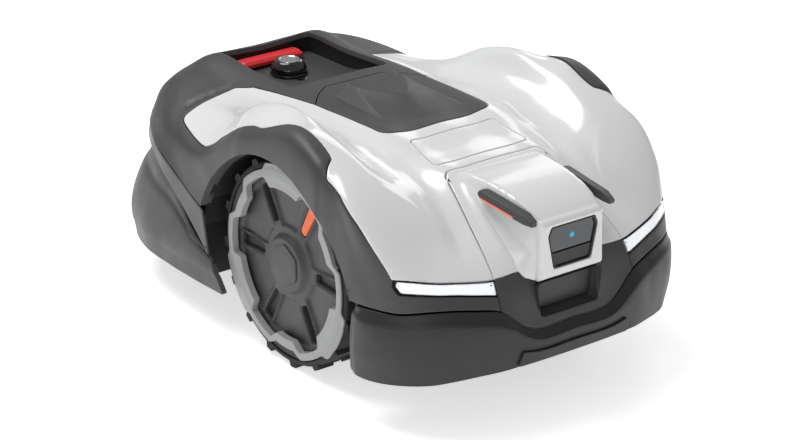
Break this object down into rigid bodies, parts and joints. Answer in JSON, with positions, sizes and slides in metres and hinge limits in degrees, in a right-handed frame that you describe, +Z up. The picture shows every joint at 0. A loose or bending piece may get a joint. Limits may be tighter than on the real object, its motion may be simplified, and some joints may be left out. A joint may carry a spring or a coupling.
{
  "type": "robotic lawn mower",
  "caption": "Robotic lawn mower with white and dark shells, large driven wheels, rear casters, camera nose and a stop button.",
  "frame": {"origin": "on the ground under the middle of the machine", "axes": "+Z up, the nose faces -Y, +X is the machine's left"},
  "size_m": [0.4844, 0.8006, 0.34],
  "materials": {
    "white_shell": "gloss",
    "dark_shell": "satin",
    "bumper_shell": "satin",
    "black_plastic": "satin",
    "grey_trim": "satin",
    "tyre_rubber": "matte",
    "red_button": "satin",
    "orange_insert": "satin",
    "gloss_black": "gloss",
    "dark_glass": "gloss",
    "lamp_lens": "gloss",
    "fin_led": "gloss",
    "steel": "brushed",
    "chrome": "polished",
    "motor_metal": "cast",
    "board_green": "satin"
  },
  "bodies": {
    "machine": {"chassis": "black_plastic", "frame": "dark_shell", "upper_shell": "white_shell", "label_plate": "white_shell", "nose_cover": "white_shell", "hatch_lid": "dark_shell", "grip_panel": "dark_shell", "rear_band": "grey_trim", "tail_skirt": "dark_shell", "camera_bezel": "black_plastic", "camera_glass": "dark_glass", "camera_lens": "gloss_black", "fin_left": "dark_shell", "fin_right": "dark_shell", "fin_light_left": "fin_led", "fin_light_right": "fin_led", "headlight_housing_left": "gloss_black", "headlight_housing_right": "gloss_black", "headlight_lens_left": "lamp_lens", "headlight_lens_right": "lamp_lens", "well_deck": "dark_shell", "knob_collar": "gloss_black", "wheel_motor_left": "motor_metal", "wheel_motor_right": "motor_metal", "charge_contact_left": "steel", "charge_contact_right": "steel", "battery": "black_plastic", "circuit_board": "board_green"},
    "bumper_body": {"bumper": "bumper_shell", "skid_strip": "bumper_shell"},
    "wheel_left": {"tyre_left": "tyre_rubber", "wheel_rim_left": "black_plastic", "wheel_trim_left": "grey_trim", "hub_cover_left": "dark_shell", "hub_cap_left": "dark_shell", "slot_insert_left": "orange_insert"},
    "wheel_right": {"tyre_right": "tyre_rubber", "wheel_rim_right": "black_plastic", "wheel_trim_right": "grey_trim", "hub_cover_right": "dark_shell", "hub_cap_right": "dark_shell", "slot_insert_right": "orange_insert"},
    "caster_left": {"caster_fork_left": "black_plastic"},
    "caster_right": {"caster_fork_right": "black_plastic"},
    "caster_roll_left": {"caster_wheel_left": "tyre_rubber"},
    "caster_roll_right": {"caster_wheel_right": "tyre_rubber"},
    "cutter": {"height_carrier": "black_plastic", "cutting_motor": "motor_metal"},
    "disc": {"cutting_disc": "steel", "blade_screw_1": "steel", "blade_screw_2": "steel", "blade_screw_3": "steel"},
    "skid": {"skid_plate": "black_plastic"},
    "blade_a": {"blade_1": "steel"},
    "blade_b": {"blade_2": "steel"},
    "blade_c": {"blade_3": "steel"},
    "button": {"stop_button": "red_button"},
    "dial": {"knob": "gloss_black", "knob_ring": "chrome"},
    "dial_press": {"knob_cap": "grey_trim"}
  },
  "joints": [
    {"name": "bumper_push", "type": "slide", "parent": "machine", "child": "bumper_body", "axis": [0, 1, 0], "range_m": [0, 0.005], "stiffness_N_per_m": 1500},
    {"name": "drive_left", "type": "hinge", "parent": "machine", "child": "wheel_left", "pos_m": [0, -0.076, 0.141], "axis": [1, 0, 0], "continuous": true},
    {"name": "drive_right", "type": "hinge", "parent": "machine", "child": "wheel_right", "pos_m": [0, -0.076, 0.141], "axis": [1, 0, 0], "continuous": true},
    {"name": "caster_swivel_left", "type": "hinge", "parent": "machine", "child": "caster_left", "pos_m": [0.118, 0.258, 0.13], "axis": [0, 0, 1], "continuous": true},
    {"name": "caster_swivel_right", "type": "hinge", "parent": "machine", "child": "caster_right", "pos_m": [-0.118, 0.258, 0.13], "axis": [0, 0, 1], "continuous": true},
    {"name": "caster_spin_left", "type": "hinge", "parent": "caster_left", "child": "caster_roll_left", "pos_m": [0.118, 0.284, 0.046], "axis": [1, 0, 0], "continuous": true},
    {"name": "caster_spin_right", "type": "hinge", "parent": "caster_right", "child": "caster_roll_right", "pos_m": [-0.118, 0.284, 0.046], "axis": [1, 0, 0], "continuous": true},
    {"name": "cutting_height", "type": "slide", "parent": "machine", "child": "cutter", "axis": [0, 0, 1], "range_m": [-0.02, 0.015]},
    {"name": "disc_spin", "type": "hinge", "parent": "cutter", "child": "disc", "pos_m": [0, -0.04, 0.044], "axis": [0, 0, 1], "continuous": true},
    {"name": "skid_spin", "type": "hinge", "parent": "disc", "child": "skid", "pos_m": [0, -0.04, 0.036], "axis": [0, 0, 1], "continuous": true},
    {"name": "blade_1_swing", "type": "hinge", "parent": "disc", "child": "blade_a", "pos_m": [0.086, -0.04, 0.041], "axis": [0, 0, 1], "continuous": true},
    {"name": "blade_2_swing", "type": "hinge", "parent": "disc", "child": "blade_b", "pos_m": [-0.043, 0.03448, 0.041], "axis": [0, 0, 1], "continuous": true},
    {"name": "blade_3_swing", "type": "hinge", "parent": "disc", "child": "blade_c", "pos_m": [-0.043, -0.11448, 0.041], "axis": [0, 0, 1], "continuous": true},
    {"name": "stop_press", "type": "slide", "parent": "machine", "child": "button", "axis": [0, 0, -1], "range_m": [0, 0.003], "stiffness_N_per_m": 900},
    {"name": "dial_turn", "type": "hinge", "parent": "machine", "child": "dial", "pos_m": [0, 0.221, 0.27], "axis": [0, 0, 1], "continuous": true},
    {"name": "dial_click", "type": "slide", "parent": "dial", "child": "dial_press", "axis": [0, 0, -1], "range_m": [0, 0.0015], "stiffness_N_per_m": 600}
  ]
}
